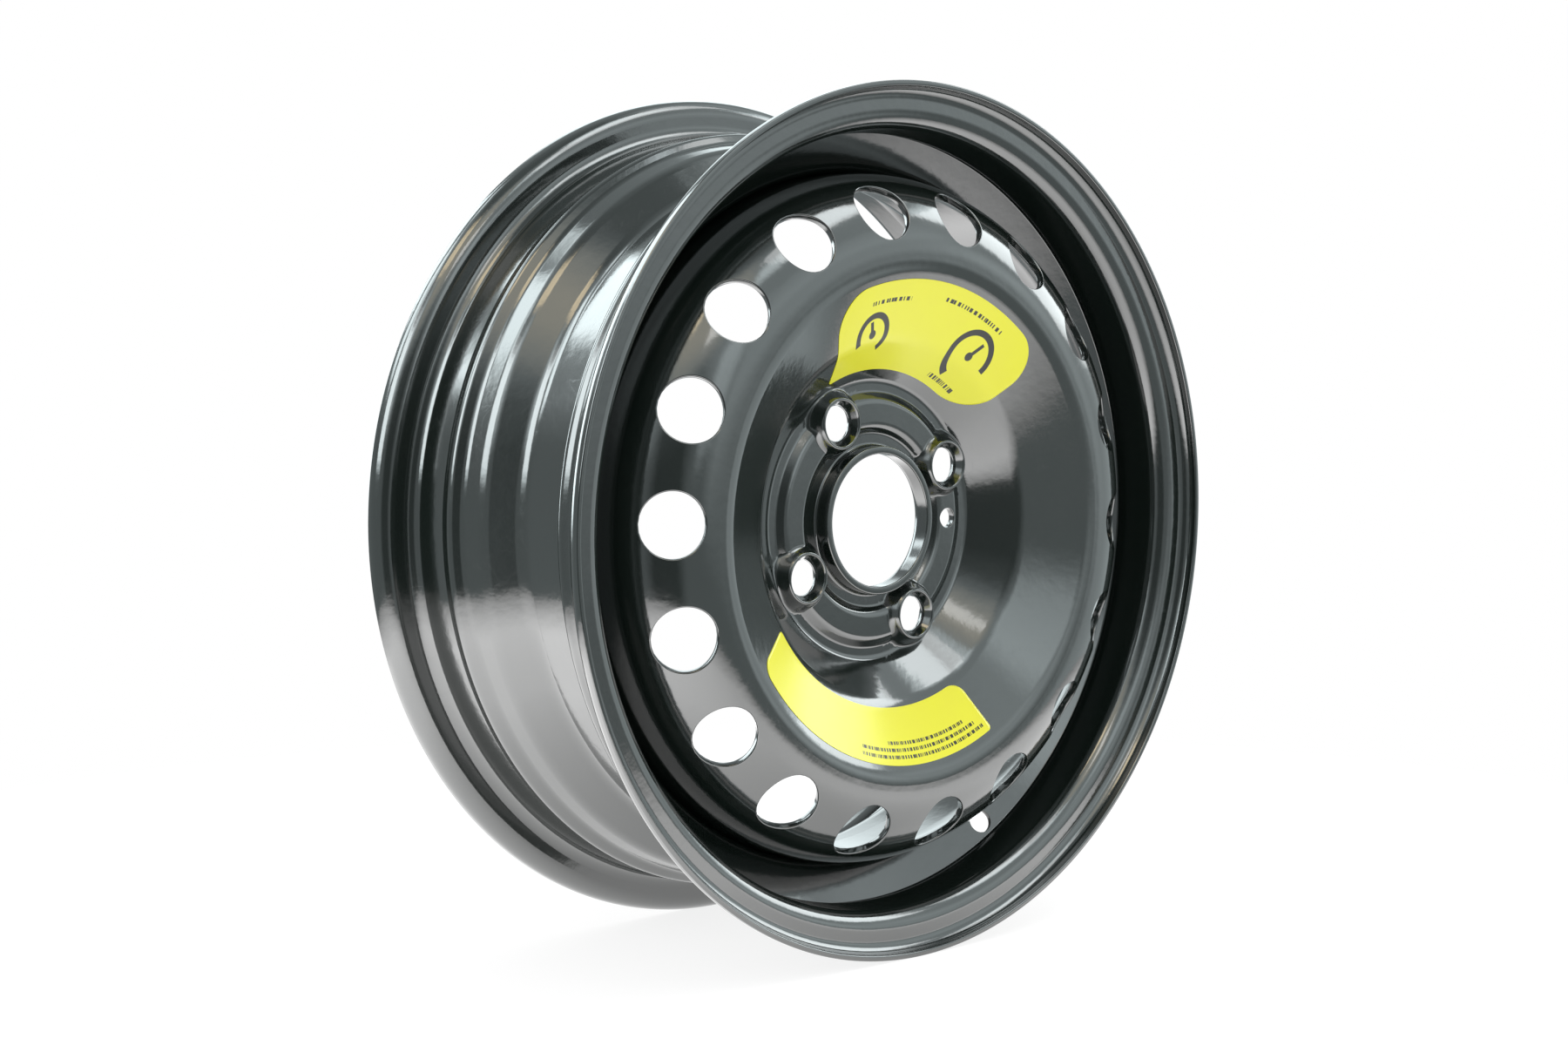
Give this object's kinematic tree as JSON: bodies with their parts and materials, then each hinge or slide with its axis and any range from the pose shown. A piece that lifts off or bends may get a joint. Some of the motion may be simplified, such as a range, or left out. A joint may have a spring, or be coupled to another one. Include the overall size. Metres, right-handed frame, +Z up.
{
  "type": "car wheel",
  "caption": "Bare pressed-steel spare car wheel: drop-centre rim, vented dished disc with bolt bosses and centre bore, and yellow vinyl labels in the bowl.",
  "frame": {"origin": "wheel centre: on the axle, midway between the two flange lips", "axes": "+Y along the axle toward the car (inboard), the outboard face looks to -Y; +Z up in the picture; +X to the right when facing the outboard side"},
  "size_m": [0.3894, 0.1466, 0.3892],
  "materials": {
    "black_paint": "gloss black stoved paint on steel",
    "yellow_vinyl": "gloss printed vinyl film"
  },
  "bodies": {
    "root": {"rim": "black_paint", "wheel_disc": "black_paint", "weld_beads": "black_paint", "upper_label": "yellow_vinyl", "lower_label": "yellow_vinyl"}
  },
  "joints": []
}
